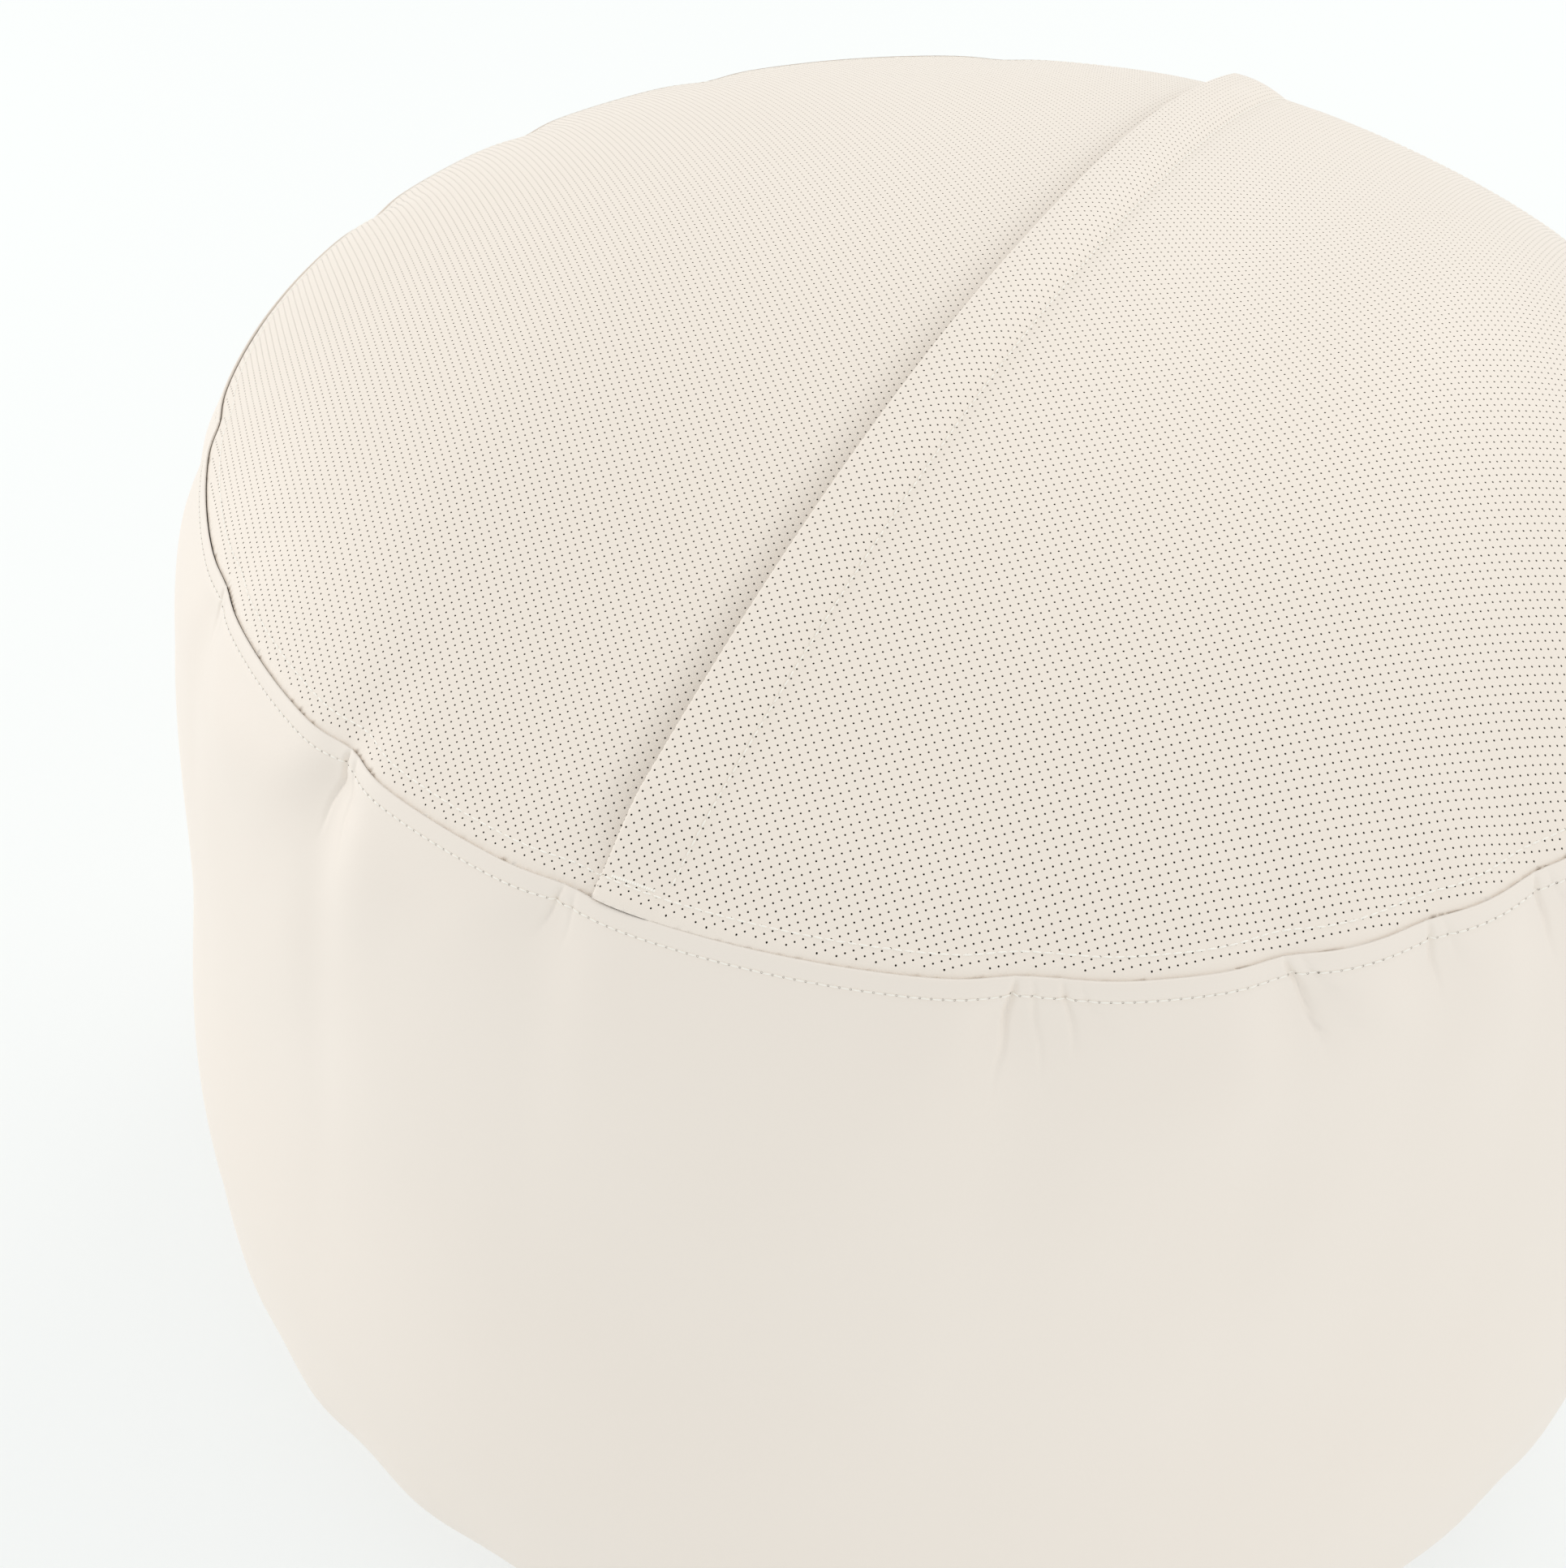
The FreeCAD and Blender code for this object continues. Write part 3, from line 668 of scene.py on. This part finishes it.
def back_rows():
    """Twin rows beside the wall's back seam."""
    pieces = []
    for side in (-1, 1):
        d = np.linspace(0.011, 0.388, 1500)
        a = math.pi / 2 + side * BACK_STITCH_OFFSET / wall_radius(np.full_like(d, math.pi / 2), d)
        name = "thread_back_seam_" + ("right" if side < 0 else "left")
        pieces += [stitch_row(name, wall_point(a, d), wall_normal(a, d))]
    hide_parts("back_seam_stitch")
    return pieces


def back_seam():
    """The closing line of the wall's back seam, a narrow V whose edges lie on the leather."""
    d = np.linspace(0.002, RIM_Z - 0.004, 400)
    rows = []
    for across, sink in ((-0.0004, -0.00012), (0.0, 0.0001), (0.0004, -0.00012)):
        a = np.full_like(d, math.pi / 2 - across / RIM)
        rows.append(wall_point(a, d, sink))
    # The V wears painted shade, darker than the leather round it.
    return make_piece("cover_back_seam", np.concatenate(rows), [grid_faces(3, len(d), False)],
                      [seam_shade])


def tack(name, side, node):
    """A bar of close stitches across the flap where it goes into the rim seam."""
    x = np.linspace(FLAP_EDGE + 0.003, STITCH_X - 0.004, 200)
    y = side * np.sqrt((0.974 * RIM) ** 2 - x ** 2)
    line, outward = lifted(x, y, outer_lift(x, y))
    piece = stitch_row(name, line, outward, pitch=0.0007, width=0.0012, height=0.0002, reach=0.5)
    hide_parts(node)
    return piece


# ---- inner bag and filling ----------------------------------------------------------------------------

def filled_form(name, top_inset, wall_inset, floor, material):
    """A closed form inside the cover: crown rings, wall rings and a flat bottom, moved inwards."""
    turns = 240
    a = np.linspace(-math.pi, math.pi, turns, endpoint=False)
    rings = []
    for share in np.linspace(0.01, 0.985, 40):
        r = share * (rim_radius(a) - wall_inset)
        x, y = r * np.cos(a), r * np.sin(a)
        rings.append(np.stack([x, y, crown(x, y) - top_inset], -1))
    for d in np.linspace(0.016, RIM_Z - floor - 0.006, 60):
        rings.append(wall_point(a, np.full_like(a, d), wall_inset))
    last = rings[-1]
    for share in (0.97, 0.5, 0.01):
        rings.append(np.stack([last[:, 0] * share, last[:, 1] * share, np.full_like(a, floor)], -1))
    points = np.concatenate(rings)
    count = len(points)
    points = np.concatenate([points, [points[:turns].mean(0), points[-turns:].mean(0)]])
    j = np.arange(turns)
    k = (j + 1) % turns
    last_ring = count - turns
    caps = [np.stack([np.full(turns, count), j, k], -1),
            np.stack([np.full(turns, count + 1), last_ring + k, last_ring + j], -1)]
    faces = [grid_faces(len(rings), turns, True), np.concatenate(caps)]
    return make_piece(name, points, faces, [material])


def filling():
    bag = filled_form("inner_bag", 0.0072, 0.0046, 0.0020, bag_cloth)
    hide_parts("inner_bag_top", "inner_bag_wall", "inner_bag_base")
    fill = filled_form("bead_filling", 0.0084, 0.0058, 0.0032, beads)
    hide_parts("bead_fill")
    return [bag, fill]


def dress(material, *names):
    """A hidden piece keeps its designed shape and takes this finish."""
    for name in names:
        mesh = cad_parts[name].data
        mesh.materials.clear()
        mesh.materials.append(material)


# ---- floor, light and camera --------------------------------------------------------------------------

def floor():
    """Pale seamless studio floor."""
    panel, shader = surface("backlit_floor_panel", "BBBDBA", 0.95)      # translucent, lit from below
    shader.inputs["Emission Color"].default_value = linear("F5F8FC")
    shader.inputs["Emission Strength"].default_value = 0.46
    piece = make_piece("studio_floor", np.array([[-9, -9, 0], [9, -9, 0], [9, 9, 0], [-9, 9, 0]], float),
                       [np.array([[0, 1, 2, 3]])], [panel])


def soft_box(name, place, aim, size, power, hex_colour):
    light = bpy.data.lights.new(name, "AREA")
    light.shape = "DISK"
    light.size = size
    light.energy = power
    light.color = linear(hex_colour)[:3]
    box = bpy.data.objects.new(name, light)
    box.location = place
    box.rotation_mode = "QUATERNION"
    box.rotation_quaternion = (Vector(aim) - Vector(place)).to_track_quat("-Z", "Y")
    bpy.context.scene.collection.objects.link(box)


def lighting():
    world = bpy.data.worlds.new("studio")
    world.use_nodes = True
    sky = world.node_tree.nodes["Background"]
    sky.inputs["Color"].default_value = linear("FAFBFA")
    sky.inputs["Strength"].default_value = 0.90
    bpy.context.scene.world = world
    soft_box("overhead", (0.4, 1.8, 2.0), (0, 0, 0.4), 1.8, 11.0, "FFFCF8")
    soft_box("left_fill", (-2.5, -0.5, 0.9), (0, 0, 0.25), 1.8, 16.0, "FFFAF6")
    soft_box("right_fill", (2.5, -0.4, 0.9), (0, 0, 0.25), 1.8, 5.0, "FFFAF6")


def camera():
    """Heading 38.2 degrees left of +Y, looking 49.2 degrees down, turned 5.9 degrees on its axis."""
    heading, down, roll = math.radians(-38.24), math.radians(49.22), -0.1038
    level = math.cos(down)
    ahead = Vector((math.sin(heading) * level, math.cos(heading) * level, -math.sin(down)))
    right = Vector((math.cos(heading), -math.sin(heading), 0))
    up = right.cross(ahead)
    x_axis = right * math.cos(roll) + up * math.sin(roll)
    y_axis = up * math.cos(roll) - right * math.sin(roll)
    lens = bpy.data.cameras.new("camera")
    lens.sensor_width = 36.0
    lens.lens = 48.45
    lens.shift_x = 0.2045
    lens.shift_y = 0.1517
    lens.clip_start = 0.01
    made = bpy.data.objects.new("camera", lens)
    turn = Matrix((x_axis, y_axis, -ahead)).transposed().to_4x4()
    made.matrix_world = Matrix.Translation((0.2246, -0.5945, 0.8278)) @ turn
    bpy.context.scene.collection.objects.link(made)
    bpy.context.scene.camera = made


# ---- the whole ----------------------------------------------------------------------------------------

pieces = [
    top_panel("cover_top_left", -0.2855, LEFT_EDGE, "top_panel_left"),
    top_panel("cover_top_right", STITCH_X, 0.2865, "top_panel_right"),
    flap(),
    side_wall(),
    rim_allowance(),
    tape("rim_seam_tape_strip", 0.003, 0.015, -math.pi, math.pi, "rim_seam_tape"),
    tape("base_seam_tape_strip", 0.392, 0.404, -math.pi, math.pi, "base_seam_tape"),
    tape("back_seam_tape_strip", 0.020, 0.388, math.pi / 2 - 0.035, math.pi / 2 + 0.035, "back_seam_tape"),
    back_seam(),
    tack("thread_tack_front", -1, "flap_tack_front"),
    tack("thread_tack_back", 1, "flap_tack_back"),
]
pieces.append(rim_row_top())
pieces += wall_row("thread_rim_wall", STITCH_DEPTH, "rim_stitch_wall")
pieces += wall_row("thread_base", BASE_STITCH_DEPTH, "base_stitch")
pieces.append(zip_row("thread_flap", STITCH_X + 0.0003, "flap_stitch"))
pieces.append(zip_row("thread_left_panel", LEFT_EDGE - 0.002, "left_panel_stitch"))
pieces += back_rows()
pieces += filling()
for piece in pieces:
    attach(piece, "pouf")

dress(base_cloth, "base_panel")
dress(zip_cloth, "zip_tape_left", "zip_tape_right")
dress(coil_nylon, "zip_coil_left", "zip_coil_right")
dress(enamel, "zip_slider", "zip_pull", "zip_top_stops", "zip_bottom_stop")
dress(bag_cloth, "inner_bag_closure")

floor()
lighting()
camera()
bpy.context.scene.view_settings.view_transform = "Standard"
